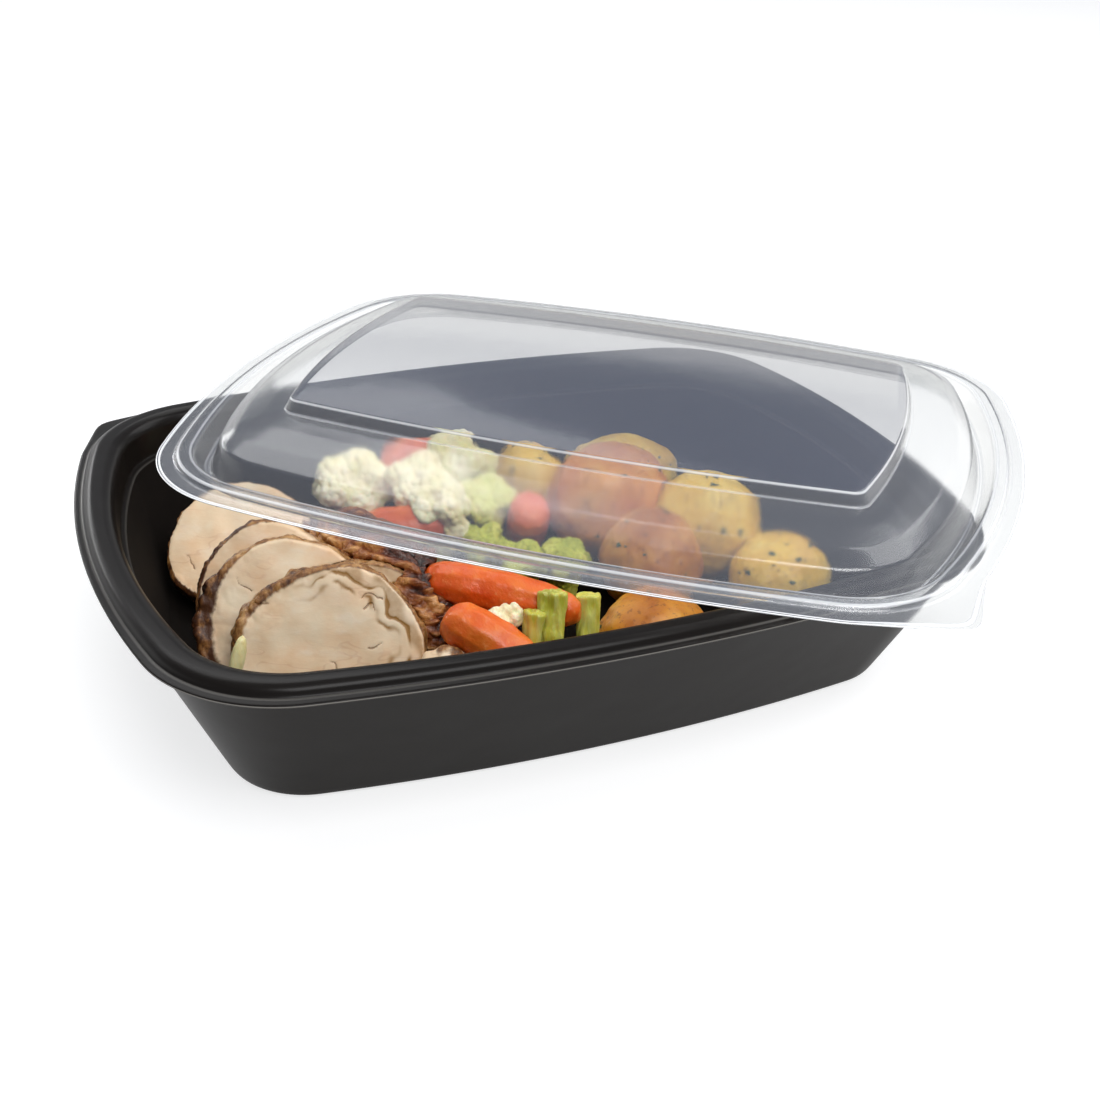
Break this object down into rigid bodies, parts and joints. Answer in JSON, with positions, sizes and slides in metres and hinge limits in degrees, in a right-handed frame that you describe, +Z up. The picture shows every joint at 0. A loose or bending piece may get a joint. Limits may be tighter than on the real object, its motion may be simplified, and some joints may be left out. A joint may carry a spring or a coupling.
{
  "type": "takeaway meal container",
  "caption": "Dark oblong food tray with a rolled rim, filled with a sliced roast and vegetables, and a clear domed lid lying askew on it.",
  "frame": {"origin": "middle of the tray's flat base, on the surface it stands on", "axes": "+Z up out of the tray, +X along the tray's long side, +Y away from the long side that faces the viewer"},
  "size_m": [0.2739, 0.2543, 0.0621],
  "materials": {
    "tray_plastic": "matte black-brown polypropylene",
    "lid_plastic": "clear thin sheet, glossy",
    "pork": "cooked pale meat with a brown rim",
    "crust": "dark roast crust, moist",
    "onion": "cooked, moist",
    "carrot": "cooked, moist",
    "stem": "cooked, moist",
    "potato": "boiled, with herb flecks",
    "red_potato": "boiled in its reddish skin",
    "gold_potato": "roasted golden",
    "cauliflower": "cooked, grainy",
    "broccoli": "cooked, grainy"
  },
  "bodies": {
    "root": {"tray": "tray_plastic", "lid": "lid_plastic", "pork_slice_1": "pork", "pork_slice_2": "pork", "pork_slice_3": "pork", "pork_slice_4": "pork", "pork_slice_5": "pork", "pork_scrap": "pork", "pork_end": "crust", "onion_strip": "onion", "carrot_1": "carrot", "carrot_2": "carrot", "carrot_3": "carrot", "carrot_4": "carrot", "carrot_5": "carrot", "stem_1": "stem", "stem_2": "stem", "stem_3": "stem", "potato_1": "potato", "potato_2": "potato", "potato_3": "red_potato", "potato_4": "potato", "potato_5": "potato", "potato_6": "gold_potato", "potato_7": "gold_potato", "cauliflower_1": "cauliflower", "cauliflower_2": "cauliflower", "cauliflower_3": "cauliflower", "cauliflower_4": "cauliflower", "cauliflower_5": "cauliflower", "cauliflower_6": "cauliflower", "broccoli_1": "broccoli", "broccoli_2": "broccoli", "broccoli_3": "broccoli"}
  },
  "joints": []
}
